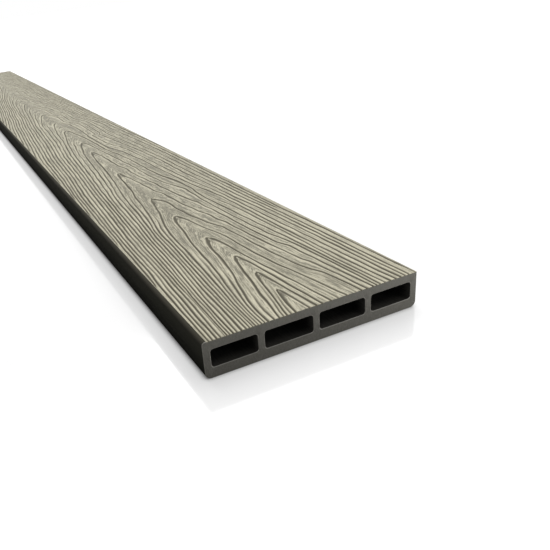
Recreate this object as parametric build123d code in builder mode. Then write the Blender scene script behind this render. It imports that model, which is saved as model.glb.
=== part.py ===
"""Hollow composite fence board, 150 x 25 mm, cut to one fence bay.

The board lies flat on its plain back. X runs across the width, Y along the length and Z up
through the thickness, and the origin is the middle of the back. The face turned up is the one
that carries the wood grain.
"""

import os

from build123d import *

# Overall size of the board, in millimetres
board_length = 1800.0
board_width = 150.0
board_thickness = 25.0

# Walls of the hollow section
side_wall = 4.6
web_wall = 4.4
face_wall = 6.1
back_wall = 7.0

# Cells between the walls: the ones inside are a little wider than the two along the sides
cell_count = 4
inner_cell_extra = 2.8

# Rounded edges of the section
cell_corner_radius = 1.9
face_edge_radius = 2.0
back_edge_radius = 4.0


def cell_spans() -> list[tuple[float, float]]:
    """Give the middle and the width of each cell, from the left side to the right."""
    inner_count = cell_count - 2
    wall_total = 2 * side_wall + (cell_count - 1) * web_wall
    outer_cell_width = (board_width - wall_total - inner_count * inner_cell_extra) / cell_count
    spans = []
    left = side_wall - board_width / 2
    for index in range(cell_count):
        is_inner = 0 < index < cell_count - 1
        width = outer_cell_width + (inner_cell_extra if is_inner else 0.0)
        spans.append((left + width / 2, width))
        left += width + web_wall
    return spans


# The four-cell section stands across the length, with its back on the floor plane
cell_height = board_thickness - face_wall - back_wall
cell_middle = back_wall + cell_height / 2

with BuildPart() as fence_board:
    with BuildSketch(Plane.XZ) as section:
        with Locations((0, board_thickness / 2)):
            Rectangle(board_width, board_thickness)
        fillet(section.vertices().group_by(Axis.Y)[0], back_edge_radius)
        fillet(section.vertices().group_by(Axis.Y)[-1], face_edge_radius)
        for middle, width in cell_spans():
            with Locations((middle, cell_middle)):
                RectangleRounded(width, cell_height, cell_corner_radius, mode=Mode.SUBTRACT)
    # Both ends are sawn square, half the length each way from the middle
    extrude(amount=board_length / 2, both=True)

fence_board.part.label = "fence_board"
os.makedirs("parts", exist_ok=True)
export_step(fence_board.part, "parts/fence_board.step")
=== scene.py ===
"""Looks of a hollow composite fence board that lies flat, with its wood-grain face up.

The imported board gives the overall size. The outer skin is one sheet laid round the section, with
its columns slid to where the pressed grain lines run, and the four cells, their mouths and the
sawn ends close it. Everything is in metres, and the grain pattern's own sizes are in millimetres.
"""

import logging
import math
from collections.abc import Callable
from dataclasses import dataclass, field
from enum import Enum

import bpy
import numpy as np
from mathutils import Matrix, Vector


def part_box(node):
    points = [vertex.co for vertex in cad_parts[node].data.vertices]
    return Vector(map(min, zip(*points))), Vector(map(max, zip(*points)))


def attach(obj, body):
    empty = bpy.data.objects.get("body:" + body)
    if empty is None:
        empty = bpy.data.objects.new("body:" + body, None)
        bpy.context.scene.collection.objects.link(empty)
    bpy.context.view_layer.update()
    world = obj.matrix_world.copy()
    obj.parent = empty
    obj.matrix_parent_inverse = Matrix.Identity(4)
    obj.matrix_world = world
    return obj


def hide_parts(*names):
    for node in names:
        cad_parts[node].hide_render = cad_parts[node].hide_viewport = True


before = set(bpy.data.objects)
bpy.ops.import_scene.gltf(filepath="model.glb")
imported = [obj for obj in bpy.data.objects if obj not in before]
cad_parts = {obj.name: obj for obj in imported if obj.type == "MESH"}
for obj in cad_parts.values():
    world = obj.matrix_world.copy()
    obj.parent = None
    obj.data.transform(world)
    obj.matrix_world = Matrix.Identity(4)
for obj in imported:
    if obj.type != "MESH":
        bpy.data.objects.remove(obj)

log = logging.getLogger("fence_board")

MM = 0.001
BODY = "root"
NODE = "fence_board"

Triple = tuple[float, float, float]
Colour = Triple
Ramp = tuple[float, float, float, float]
Stations = tuple[tuple[float, float], ...]


class Side(Enum):
    """Which way the rings run from the spine, as the sign of X."""

    LEFT = -1
    RIGHT = 1


class Surface(Enum):
    """The surfaces of the board, in the order of its material slots."""

    GRAIN_FACE = 0
    ROUNDED_EDGE = 1
    EXTRUDED_SKIN = 2
    SAWN_END = 3
    CELL_WALL = 4
    BROKEN_EDGE = 5


def smooth_step(share: np.ndarray) -> np.ndarray:
    """Ease from 0 to 1 with flat ends.

    Args:
        share: Where each value stands, clipped to 0 and 1.

    Returns:
        The eased values.
    """
    held = np.clip(share, 0.0, 1.0)
    return held * held * (3.0 - 2.0 * held)


def follow(stations: Stations, at: np.ndarray) -> np.ndarray:
    """Read a value between given stations, in straight steps.

    Args:
        stations: Pairs of a place and its value, in rising order.
        at: The places to read.

    Returns:
        The value at each place.
    """
    places, values = zip(*stations)
    return np.interp(at, places, values)


@dataclass(frozen=True)
class DrawnLine:
    """One ring's arm, drawn from the front end towards its tip."""

    number: int
    path: Stations

    def distance(self, station: float, spine: float, tip: float) -> float:
        """How far the arm lies from the spine, with a round turn above its last drawn point.

        Args:
            station: Distance from the front end.
            spine: Distance of the spine from the left edge there.
            tip: Station of the ring's tip.

        Returns:
            The distance in millimetres.
        """
        last_station, last_x = self.path[-1]
        if station <= last_station:
            return abs(float(follow(self.path, np.array(station))) - spine)
        rest = max(tip - station, 0.0) / max(tip - last_station, 0.1)
        return abs(last_x - spine) * math.sqrt(rest)


@dataclass(frozen=True)
class Arms:
    """How the rings run on one side of the spine.

    Stations are distances from the front sawn end and shares run from the spine, 0, to the edge, 1.
    A crowding tells how close together the rings lie at a share, against the other shares. A faint
    ring is given as its tip and the station below which it shows, and a late one as its number, the
    station past which it is full and how deep it is before that. The lines are drawn up to the
    station drawn_to.
    """

    side: Side
    tips: tuple[float, ...]
    faint: Stations
    count: Stations
    crowding_front: Stations
    crowding_near: Stations
    crowding_far: Stations
    kink: float
    wander: float
    drawn: tuple[DrawnLine, ...]
    drawn_to: float
    late: tuple[tuple[int, float, float], ...]
    near_at: float = 95.0
    far_at: float = 260.0
    easing_steps: int = 9

    def base(self, stations: np.ndarray, smoothing: float) -> np.ndarray:
        """Ring number on the spine, which meets a whole number at each tip.

        Args:
            stations: Distances from the front end.
            smoothing: Reach over which the steps are eased.

        Returns:
            Ring numbers, the first tip's being 0.
        """
        numbers = np.arange(len(self.tips))
        offsets = np.linspace(-smoothing, smoothing, self.easing_steps)
        return np.mean([np.interp(stations + o, self.tips, numbers) for o in offsets], axis=0)

    def spread(self, station: float, shares: np.ndarray) -> np.ndarray:
        """How the rings are shared out between the spine and the edge.

        Args:
            station: Distance from the front end.
            shares: Places from the spine to the edge.

        Returns:
            The share of the rings that lies inside each place, from 0 to 1.
        """
        front, near, far = (follow(crowding, shares) / follow(crowding, shares).mean()
                            for crowding in (self.crowding_front, self.crowding_near, self.crowding_far))
        to_near = smooth_step(np.array(station / self.near_at))
        to_far = smooth_step(np.array((station - self.near_at) / (self.far_at - self.near_at)))
        crowding = front + to_near * (near - front) + to_far * (far - near)
        total = np.cumsum(crowding) - crowding[0]
        return total / total[-1]


LEFT_LINES = {
    2: ((0, 61.0), (11, 61.9), (20, 63.5), (28, 65.4)),
    3: ((0, 57.8), (10, 59.2), (17, 60.8), (28, 63.8), (38, 65.9)),
    4: ((0, 55.0), (6, 55.9), (12, 57.4), (19, 58.8), (27, 60.4), (40, 62.7), (50, 64.6), (57, 66.4)),
    5: ((0, 52.8), (5, 53.5), (20, 56.9), (30, 58.7), (40, 60.6), (50, 62.4), (60, 64.2), (70, 66.3)),
    6: ((0, 50.0), (6, 50.9), (14, 52.3), (23, 54.2), (33, 55.8), (41, 57.5), (51, 59.6), (60, 61.2),
        (67, 62.4), (76, 64.6), (84, 66.2), (90, 67.9)),
    7: ((0, 46.4), (12, 46.9), (22, 48.0), (34, 50.4), (45, 52.8), (56, 55.0), (66, 57.0), (77, 59.5),
        (90, 62.0), (103, 65.0)),
    8: ((0, 42.2), (10, 42.7), (20, 43.5), (29, 44.6), (37, 46.5), (43, 48.1), (51, 50.0), (61, 52.7),
        (67, 54.2), (73, 55.4), (85, 57.7), (91, 59.0), (100, 60.2), (110, 60.4), (118, 61.9),
        (127, 64.2), (133, 66.0)),
    9: ((0, 40.0), (12, 40.6), (22, 41.4), (31, 42.8), (38, 44.0), (45, 45.4), (52, 47.0), (60, 48.6),
        (70, 49.8), (80, 50.8), (95, 53.0), (110, 54.5), (130, 57.0), (150, 61.5)),
    10: ((0, 38.0), (8, 38.3), (20, 38.8), (30, 39.6), (40, 41.0), (57, 43.5), (73, 46.2), (83, 47.7),
        (91, 48.8), (100, 49.8), (110, 50.4), (121, 51.6), (140, 53.9), (148, 55.4), (157, 57.3),
        (167, 58.8), (177, 60.0), (188, 61.2), (195, 63.1)),
    11: ((0, 36.0), (15, 36.5), (34, 38.1), (42, 39.2), (50, 40.0), (66, 42.3), (74, 43.1), (90, 45.4),
        (100, 46.0), (110, 47.0), (122, 48.6), (154, 50.6), (180, 54.5), (205, 60.0), (220, 64.0)),
    12: ((0, 34.0), (30, 35.4), (60, 38.5), (100, 41.9), (125, 44.1), (145, 45.0), (156, 46.2),
        (167, 47.0), (174, 48.2), (183, 49.6), (190, 51.2), (199, 53.5), (217, 57.7), (225, 59.2),
        (235, 61.2), (244, 62.7), (253, 63.8)),
    13: ((0, 32.3), (30, 33.5), (60, 36.0), (100, 38.8), (125, 40.8), (140, 41.9), (160, 43.1),
        (180, 45.4), (200, 49.2), (220, 51.5), (235, 55.8), (260, 58.5), (285, 61.5), (300, 64.0)),
    14: ((0, 30.3), (30, 31.5), (60, 33.3), (100, 36.2), (140, 39.2), (169, 40.3), (177, 41.3),
        (186, 42.7), (196, 44.6), (207, 46.5), (228, 49.6), (240, 51.2), (249, 52.3), (259, 53.1),
        (269, 54.2), (280, 55.8), (298, 58.8), (307, 60.2), (327, 61.9), (345, 63.0), (360, 64.2)),
    15: ((0, 28.2), (30, 29.2), (60, 30.6), (100, 33.5), (125, 35.4), (160, 37.3), (180, 38.5),
        (200, 42.3), (220, 44.2), (240, 46.0), (260, 47.0), (280, 50.4), (300, 52.7), (320, 56.0),
        (350, 58.5), (380, 61.0), (410, 63.5)),
    16: ((0, 25.2), (30, 26.9), (60, 27.9), (100, 31.2), (125, 32.5), (160, 34.6), (200, 38.5),
        (240, 42.7), (260, 43.5), (280, 45.8), (300, 47.7), (320, 50.8), (345, 54.0), (370, 57.0),
        (403, 60.3), (440, 62.7), (460, 64.7), (480, 66.7), (490, 68.7)),
    17: ((0, 22.2), (20, 23.2), (40, 24.0), (60, 25.1), (100, 28.7), (125, 29.8), (160, 31.5),
        (200, 35.4), (240, 38.5), (280, 41.2), (300, 42.7), (320, 46.2), (360, 51.0), (400, 55.5),
        (450, 59.0), (480, 61.0), (505, 65.0), (520, 68.0)),
    18: ((0, 19.7), (20, 20.3), (30, 20.8), (50, 21.9), (60, 22.6), (80, 24.0), (100, 25.6), (125, 27.3),
        (160, 28.8), (200, 32.3), (240, 35.0), (280, 37.3), (320, 42.3), (360, 46.5), (400, 50.5),
        (450, 55.0), (500, 60.0), (507, 62.0), (517, 64.0), (533, 66.7), (547, 70.0), (556, 72.5)),
    19: ((0, 17.5), (20, 18.3), (30, 19.0), (50, 19.8), (60, 20.3), (70, 21.0), (80, 21.5), (100, 23.2),
        (125, 24.5), (160, 26.2), (200, 29.2), (240, 31.2), (280, 33.5), (320, 37.7), (400, 45.5),
        (500, 53.5), (560, 62.0), (590, 69.0)),
    20: ((0, 15.8), (20, 16.2), (40, 17.1), (55, 17.8), (66, 18.9), (75, 19.2), (92, 20.2), (110, 21.0),
        (125, 21.9), (150, 23.1), (180, 24.4), (210, 26.3), (240, 27.9), (280, 30.8), (320, 33.1),
        (400, 40.0), (500, 48.0), (580, 57.0), (640, 68.0)),
    21: ((0, 14.5), (20, 15.3), (40, 16.2), (64, 16.8), (75, 17.1), (90, 17.8), (110, 18.6), (130, 19.3),
        (150, 20.0), (170, 21.2), (190, 22.0), (210, 23.4), (230, 24.8), (250, 25.8), (320, 29.8),
        (400, 36.3), (500, 43.5), (600, 55.0)),
    22: ((0, 11.8), (10, 12.0), (25, 13.0), (50, 14.2), (60, 14.6), (80, 15.0), (100, 16.1), (130, 16.7),
        (150, 17.2), (180, 18.5), (200, 19.4), (210, 20.4), (240, 22.0), (250, 23.1), (280, 24.6),
        (320, 26.7), (400, 32.7), (500, 39.0), (600, 50.0)),
    23: ((0, 9.4), (20, 9.9), (40, 10.4), (60, 11.5), (80, 12.0), (100, 13.2), (130, 13.8), (155, 14.2),
        (180, 15.1), (190, 16.0), (210, 16.9), (230, 18.6), (250, 19.4), (280, 20.9), (320, 23.3),
        (400, 29.0), (500, 34.8), (600, 45.0)),
    24: ((0, 6.8), (20, 7.0), (40, 7.8), (60, 8.4), (80, 9.2), (90, 10.0), (100, 10.6), (120, 10.5),
        (145, 11.0), (180, 11.8), (190, 12.6), (210, 13.3), (230, 14.5), (260, 16.1), (280, 17.2),
        (300, 18.1), (320, 19.4), (400, 25.3), (500, 30.6), (600, 40.0)),
    25: ((0, 4.5), (40, 4.9), (60, 5.6), (80, 5.9), (90, 6.4), (105, 7.8), (130, 8.1), (160, 8.6),
        (180, 9.3), (200, 9.9), (230, 11.2), (240, 12.0), (270, 13.0), (300, 14.2), (320, 15.3),
        (400, 21.6), (500, 26.4), (600, 35.5)),
    26: ((0, 1.6), (60, 2.4), (80, 3.4), (86, 4.1), (100, 4.4), (110, 4.9), (130, 5.2), (155, 5.7),
        (170, 6.0), (190, 7.1), (210, 7.4), (230, 8.4), (260, 9.7), (290, 10.3), (320, 11.7), (400, 18.0),
        (500, 22.4), (600, 31.0)),
    27: ((0, -1.2), (100, 1.5), (165, 3.2), (176, 4.3), (195, 4.8), (230, 5.6), (250, 6.3), (270, 7.2),
        (300, 8.2), (320, 8.5), (400, 14.4), (500, 18.3), (600, 26.5)),
    28: ((0, -4.0), (200, 1.6), (240, 2.8), (268, 4.2), (290, 5.0), (320, 5.9), (400, 10.8), (500, 14.3),
        (600, 22.0)),
    29: ((0, -7.0), (240, 0.2), (300, 2.8), (325, 4.2), (400, 7.4), (500, 10.5), (600, 17.5)),
}
LEFT_ARMS = Arms(
    side=Side.LEFT,
    tips=(-12, 9, 31, 45, 60, 76, 92, 112, 137, 165, 199, 228, 257, 307, 370, 430, 496, 529, 561, 606,
          667, 747, 801, 852, 915, 961, 1026, 1074, 1121, 1184, 1234, 1286, 1347, 1430, 1488, 1583,
          1644, 1720, 1790, 1880),
    faint=((-12, 0), (9, 22), (45, 60), (76, 60), (112, 60), (165, 105), (228, 130), (307, 235), (430, 320),
           (529, 430), (606, 606), (801, 801), (915, 915), (1074, 1074), (1234, 1234), (1488, 1488)),
    count=((0, 24.9), (60, 21.9), (100, 20.1), (200, 17.7), (320, 16.2), (430, 15.6), (560, 13.8),
           (775, 14.0), (1120, 16.0), (1800, 15.0)),
    crowding_front=((0.0, 0.30), (0.2, 0.36), (0.37, 0.30), (0.43, 0.46), (1.0, 0.40)),
    crowding_near=((0.0, 0.0), (0.1, 0.105), (0.2, 0.17), (0.36, 0.27), (0.48, 0.40), (1.0, 0.40)),
    crowding_far=((0.0, 0.0), (0.13, 0.11), (0.2, 0.15), (0.32, 0.23), (0.47, 0.31), (1.0, 0.31)),
    kink=0.10,
    wander=0.14,
    drawn=tuple(DrawnLine(*line) for line in LEFT_LINES.items()),
    drawn_to=600.0,
    late=((21, 58, 0.5),),
)
RIGHT_LINES = {
    1: ((0, 70.2), (15, 69.3), (26, 68.2)),
    2: ((0, 75.6), (8, 74.3), (25, 72.7), (40, 71.2), (53, 70.0)),
    3: ((0, 79.3), (22, 77.0), (42, 75.6), (55, 74.3), (68, 73.3), (78, 72.3), (87, 70.7)),
    4: ((0, 85.6), (13, 84.0), (30, 82.0), (48, 80.0), (62, 78.3), (73, 77.0), (87, 75.3), (103, 73.8),
        (115, 73.3), (124, 72.6), (132, 71.0)),
    5: ((0, 90.5), (20, 88.6), (38, 87.0), (60, 82.5), (90, 79.0), (120, 77.5), (140, 75.5), (158, 71.0)),
    6: ((0, 97.0), (10, 94.7), (28, 92.0), (44, 89.7), (58, 86.7), (72, 84.7), (87, 83.0), (102, 81.7),
        (120, 81.0), (133, 80.0), (143, 78.3), (151, 76.2), (160, 74.0), (172, 72.4), (184, 71.0),
        (193, 69.0)),
    7: ((0, 103.5), (15, 102.0), (30, 100.3), (45, 94.0), (70, 89.5), (100, 86.5), (130, 84.5),
        (150, 81.0), (170, 77.0), (200, 73.0), (220, 70.0)),
    8: ((0, 107.5), (10, 106.7), (23, 105.0), (35, 103.3), (39, 100.7), (46, 98.0), (58, 96.0),
        (70, 94.3), (85, 92.5), (103, 90.8), (118, 89.9), (140, 88.0), (151, 87.2), (156, 84.7),
        (167, 81.3), (177, 80.0), (185, 77.7), (195, 76.2), (207, 75.0), (222, 74.0), (235, 74.2),
        (243, 73.8), (251, 70.0)),
    9: ((0, 111.2), (18, 109.9), (40, 107.7), (53, 106.3), (60, 104.0), (72, 101.7), (80, 101.3),
        (92, 100.0), (102, 98.6), (117, 97.3), (145, 95.0), (158, 94.0), (168, 92.3), (182, 90.7),
        (197, 87.6), (212, 85.7), (222, 83.3), (238, 82.3), (252, 82.0), (265, 80.7), (280, 77.3),
        (295, 75.5), (307, 74.7), (323, 73.3), (337, 72.0), (350, 69.7), (363, 68.3)),
    10: ((0, 116.3), (18, 114.7), (30, 113.3), (58, 111.0), (72, 110.0), (85, 109.0), (92, 106.7),
        (98, 104.8), (112, 103.7), (142, 101.3), (170, 100.3), (185, 99.2), (205, 97.4), (221, 96.3),
        (227, 94.7), (238, 92.7), (250, 91.0), (265, 89.0), (280, 87.7), (298, 86.7), (313, 85.0),
        (343, 81.7), (357, 80.2), (384, 80.3), (395, 77.7), (405, 76.3), (427, 75.2), (447, 75.3),
        (463, 74.7), (480, 73.0), (490, 71.8)),
    11: ((0, 118.9), (37, 117.4), (63, 115.8), (92, 113.7), (102, 111.7), (113, 109.2), (127, 108.0),
        (158, 105.7), (173, 104.7), (197, 103.6), (225, 102.8), (253, 103.7), (265, 103.3), (273, 102.0),
        (283, 99.3), (290, 96.8), (296, 95.0), (313, 93.0), (347, 90.2), (377, 90.0), (407, 88.3),
        (423, 86.7), (460, 84.3), (477, 83.0), (510, 80.3), (543, 78.0), (556, 75.5)),
    12: ((0, 121.6), (20, 120.8), (40, 119.4), (60, 118.5), (85, 117.0), (112, 115.2), (142, 112.7),
        (157, 111.7), (197, 109.2), (220, 107.5), (237, 106.8), (250, 107.6), (262, 109.3), (292, 107.9),
        (303, 106.7), (312, 104.7), (323, 102.3), (332, 101.0), (353, 99.3), (392, 98.0), (420, 96.8),
        (460, 93.3), (480, 90.0), (495, 88.7), (545, 87.5), (590, 85.5), (612, 83.0), (632, 80.0)),
    13: ((0, 124.9), (20, 123.6), (40, 122.3), (62, 121.6), (95, 121.0), (117, 120.3), (132, 119.3),
        (172, 118.0), (185, 117.2), (195, 116.0), (208, 114.0), (225, 112.3), (245, 111.4), (300, 109.0),
        (330, 104.5), (370, 102.5), (420, 101.0), (460, 97.5), (500, 91.5), (560, 89.5), (640, 85.0),
        (690, 79.0)),
    14: ((0, 129.2), (15, 127.9), (30, 127.0), (50, 126.0), (87, 124.3), (120, 122.7), (175, 121.8),
        (223, 120.6), (235, 119.1), (247, 117.7), (260, 115.7), (275, 114.0), (288, 112.7), (325, 111.0),
        (345, 109.7), (360, 108.7), (402, 107.6), (420, 105.8), (437, 103.8), (455, 102.7), (473, 100.7),
        (485, 97.2), (497, 93.7), (510, 92.2), (560, 91.3), (590, 90.8), (640, 88.0), (690, 84.0),
        (725, 80.0)),
    15: ((0, 133.3), (20, 131.8), (57, 130.3), (93, 129.1), (130, 127.4), (165, 126.1), (203, 125.0),
        (237, 123.5), (250, 122.3), (262, 120.8), (278, 119.0), (290, 117.8), (330, 116.0), (383, 113.7),
        (420, 112.7), (455, 111.0), (480, 109.4), (497, 106.6), (508, 103.8), (521, 101.2), (532, 99.4),
        (575, 98.0), (640, 95.5), (700, 91.5), (780, 85.0)),
    16: ((0, 137.2), (20, 136.1), (75, 135.0), (113, 133.7), (157, 132.0), (173, 131.5), (190, 130.3),
        (205, 128.7), (265, 127.3), (285, 126.4), (320, 124.6), (390, 124.2), (420, 122.5), (460, 120.0),
        (520, 115.0), (580, 109.0), (660, 104.0), (760, 97.0), (860, 89.0)),
    17: ((0, 140.8), (28, 139.4), (73, 138.4), (117, 137.3), (150, 136.6), (185, 135.0), (205, 133.7),
        (265, 132.3), (300, 130.3), (345, 129.2), (400, 128.9), (420, 127.6), (470, 125.0), (530, 121.5),
        (600, 117.0), (700, 110.0)),
    18: ((0, 143.7), (25, 143.0), (87, 142.0), (130, 140.8), (167, 139.4), (205, 138.0), (265, 136.6),
        (345, 135.6), (400, 134.3), (450, 132.0), (520, 129.0), (600, 125.0)),
    19: ((0, 146.3), (60, 145.3), (120, 143.6), (205, 142.2), (265, 141.1), (360, 140.3), (407, 140.4),
        (500, 137.5), (600, 133.0)),
    20: ((0, 148.6), (20, 147.6), (60, 147.2), (100, 146.8), (130, 146.2), (150, 145.4), (265, 145.1),
        (400, 144.8), (500, 143.0), (600, 140.0)),
}
RIGHT_ARMS = Arms(
    side=Side.RIGHT,
    tips=(-7, 31, 60, 92, 137, 165, 199, 228, 257, 370, 496, 561, 667, 705, 747, 852, 961, 1026, 1121,
          1184, 1286, 1347, 1430, 1583, 1644, 1720, 1790, 1880),
    faint=((-7, 0), (165, 40), (228, 36), (705, 262), (1184, 1184)),
    count=((0, 19.8), (92, 17.2), (137, 16.3), (200, 14.5), (257, 12.6), (370, 11.7), (496, 10.8),
           (561, 9.9), (667, 9.6), (900, 11.0), (1200, 12.0), (1800, 13.0)),
    crowding_front=((0.0, 0.27), (0.15, 0.22), (0.48, 0.15), (0.54, 0.28), (1.0, 0.28)),
    crowding_near=((0.0, 0.0), (0.08, 0.11), (0.28, 0.115), (0.45, 0.15), (0.6, 0.20), (1.0, 0.23)),
    crowding_far=((0.0, 0.0), (0.12, 0.08), (0.4, 0.10), (0.5, 0.14), (0.6, 0.19), (1.0, 0.21)),
    kink=0.34,
    wander=0.12,
    drawn=tuple(DrawnLine(*line) for line in RIGHT_LINES.items()),
    drawn_to=600.0,
    late=((19, 152, 0.0),),
)


@dataclass(frozen=True)
class Wave:
    """Seeded waves: their middle length, the rings they take to change, and a number of their own."""

    length: float
    run: float
    number: int


@dataclass(frozen=True)
class GrainPattern:
    """Cathedral grain pressed into the face: rings that close at tips along a spine, in millimetres."""

    spine: Stations = ((0, 66.7), (31, 66.7), (60, 68.5), (92, 69.0), (137, 67.2), (199, 65.7), (257, 65.7),
                       (370, 66.9), (496, 70.4), (561, 73.9), (818, 77.1), (1078, 72.2), (1295, 80.0),
                       (1556, 76.5), (1800, 79.0))
    left: Arms = LEFT_ARMS
    right: Arms = RIGHT_ARMS
    tip_smoothing: float = 4.3
    half_width: float = 1.2
    widest: float = 0.40
    swell: float = 0.22
    tip_swell: float = 0.45
    tip_reach: float = 26.0
    tip_calm: float = 52.0
    drawn_fade: float = 150.0
    past_edge: tuple[float, float] = (4.0, 14.0)
    free_rings: float = 1.0
    settling_rings: float = 1.5
    tremble: float = 0.06
    depth: float = 0.90
    depth_wave: float = 0.24
    least_depth: float = 0.45
    faint_depth: float = 0.12
    faint_gain: float = 0.68
    faint_rise: float = 60.0
    late_rise: float = 16.0
    rim_start: float = 0.1
    rim_calm: float = 1.3
    crowded: float = 2.0
    worn: float = 0.7
    open_gap: float = 9.0
    shown_from: float = 0.5
    hiding: float = 0.38
    narrow_crown: float = 0.8
    crown_range: float = 3.6
    straying: Wave = Wave(181.0, 5.0, 1)
    kinking: Wave = Wave(95.0, 2.2, 2)
    trembling: Wave = Wave(28.0, 1.7, 3)
    pressing: Wave = Wave(198.0, 1.3, 5)
    swelling: Wave = Wave(69.0, 0.9, 6)
    seed: int = 41

    def spine_x(self, stations: np.ndarray) -> np.ndarray:
        """Distance of the spine from the left edge at each station."""
        return follow(self.spine, stations)

    def waves(self, wave: Wave, arms: Arms, numbers: np.ndarray, stations: np.ndarray) -> np.ndarray:
        """Seeded waves along the board, which change slowly from one ring to the next.

        Args:
            wave: Which waves.
            arms: The side of the spine.
            numbers: Ring numbers.
            stations: Distances from the front end.

        Returns:
            Values from -1 to 1, a row for each station and a column for each ring.
        """
        draw = np.random.default_rng((self.seed, arms.side.value + 1, wave.number))
        total = np.zeros((len(stations), len(numbers)))
        for share in (0.5, 0.3, 0.2):
            turns = stations[:, None] / (wave.length * draw.uniform(0.6, 1.5))
            drift = numbers[None, :] / (wave.run * draw.uniform(0.7, 1.4))
            bend = 0.6 * np.sin(2 * math.pi * (drift * 0.37 + draw.uniform()))
            total += share * np.sin(2 * math.pi * (turns + drift + bend + draw.uniform()))
        return total


@dataclass
class GrainColumns:
    """The pressed lines on one side of the spine, laid out station by station.

    Each ring has four columns: the shoulder on the spine's side, the groove's floor, the other
    shoulder, and the middle of the crown up to the next ring.
    """

    pattern: GrainPattern
    arms: Arms
    stations: np.ndarray
    spine: np.ndarray
    reach: np.ndarray
    shares: np.ndarray = field(default_factory=lambda: np.linspace(0.0, 1.0, 401))

    def __post_init__(self) -> None:
        """Work out where every column runs, how deep it is and how its crown is toned."""
        pattern, arms, stations = self.pattern, self.arms, self.stations
        self.base = arms.base(stations, pattern.tip_smoothing)
        self.count = follow(arms.count, stations)
        self.ladders = [self._ladder(row) for row in range(len(stations))]
        rings = int(math.ceil((self.base + self.count).max())) + 1
        numbers = np.arange(rings, dtype=float)
        tips = np.interp(numbers, np.arange(len(arms.tips)), arms.tips, right=1e6)
        below = tips[None, :] - stations[:, None]
        self.strength = self._strength(numbers, tips)
        floor = numbers[None, :] + smooth_step(below / pattern.tip_calm) * self._shift(numbers)
        gaps = np.diff(floor, axis=1)
        inner = np.hstack([gaps[:, :1], gaps])
        outer = np.hstack([gaps, gaps[:, -1:]])
        swell = 1.0 + pattern.swell * pattern.waves(pattern.swelling, arms, numbers, stations)
        swell = swell * (1.0 + pattern.tip_swell * (1.0 - smooth_step(below / pattern.tip_reach)))
        half = pattern.half_width * swell * self._steepness(floor)
        half = np.minimum(half, pattern.widest * np.minimum(inner, outer))
        self.ring = self._per_ring(floor - half, floor, floor + half, floor + outer / 2)
        self.place = self._places(self.ring)
        to_rim = self.reach[:, None] - self.place[:, 1::4]
        self.strength = self.strength * smooth_step((to_rim - pattern.rim_start) / pattern.rim_calm)
        self.groove = self._grooves()
        self.tone = self._tones(rings)
        self.breadth = self._breadth()
        # The wide crowns left of the spine get a painted highlight and painted shade beside their lines.
        self.slope_and_painted_side_light = self._painted_side_light()
        self.closed = self.place <= 0.0
        self.outside = self.place >= self.reach[:, None]

    def _ladder(self, row: int) -> tuple[np.ndarray, np.ndarray]:
        """Which ring level lies at which distance from the spine, at one station.

        Args:
            row: The station's row.

        Returns:
            Rising ring levels, and the distance of each from the spine.
        """
        pattern, arms, station = self.pattern, self.arms, self.stations[row]
        levels = self.base[row] + arms.spread(station, self.shares) * self.count[row]
        places = self.shares * self.reach[row]
        edge_level = levels[-1]
        levels = np.append(levels, edge_level + pattern.past_edge[0])
        places = np.append(places, self.reach[row] + pattern.past_edge[1])
        known, moves = [levels[0]], [0.0]
        for line in arms.drawn:
            if line.number > self.base[row] + 0.02 and station < arms.tips[line.number]:
                wanted = line.distance(station, self.spine[row], arms.tips[line.number])
                hold = 1.0 - smooth_step(np.array((station - arms.drawn_to) / pattern.drawn_fade))
                moves.append(hold * (wanted - np.interp(line.number, levels, places)))
                known.append(line.number)
        free = edge_level - known[-1] - pattern.free_rings
        if free > 0.0:
            known.append(edge_level)
            moves.append(moves[-1] * (1.0 - smooth_step(np.array(free / pattern.settling_rings))))
        places = places + np.interp(levels, known, moves)
        return levels, np.maximum.accumulate(places)

    def _per_ring(self, *columns: np.ndarray) -> np.ndarray:
        """Put the four columns of every ring side by side.

        Args:
            *columns: The inner shoulder, the floor, the outer shoulder and the crown, ring by ring.

        Returns:
            One table with a row for each station.
        """
        return np.stack(columns, axis=2).reshape(len(self.stations), -1)

    def _shift(self, numbers: np.ndarray) -> np.ndarray:
        """How far each line strays from its even course, in rings.

        Args:
            numbers: Ring numbers.

        Returns:
            Shifts, a row for each station and a column for each ring.
        """
        pattern, arms = self.pattern, self.arms
        free = smooth_step((self.stations[:, None] - arms.drawn_to) / pattern.drawn_fade)
        slow = arms.wander * pattern.waves(pattern.straying, arms, numbers, self.stations)
        kinks = arms.kink * pattern.waves(pattern.kinking, arms, numbers, self.stations)
        fine = pattern.tremble * pattern.waves(pattern.trembling, arms, numbers, self.stations)
        return free * (slow + kinks) + fine

    def _strength(self, numbers: np.ndarray, tips: np.ndarray) -> np.ndarray:
        """How deep each groove is along its run.

        Args:
            numbers: Ring numbers.
            tips: Station of each ring's tip.

        Returns:
            Depths from 0 to 1, a row for each station and a column for each ring.
        """
        pattern = self.pattern
        wavy = pattern.waves(pattern.pressing, self.arms, numbers, self.stations)
        depth = np.clip(pattern.depth + pattern.depth_wave * wavy, pattern.least_depth, 1.0)
        rise = np.ones_like(depth)
        for tip, shows_from in self.arms.faint:
            eased = smooth_step((shows_from - self.stations) / pattern.faint_rise)
            rise[:, tips == tip] = (pattern.faint_depth + pattern.faint_gain * eased)[:, None]
        for number, full_past, before in self.arms.late:
            eased = smooth_step((self.stations - full_past) / pattern.late_rise)
            rise[:, numbers == number] = (before + (1.0 - before) * eased)[:, None]
        return depth * rise

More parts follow.
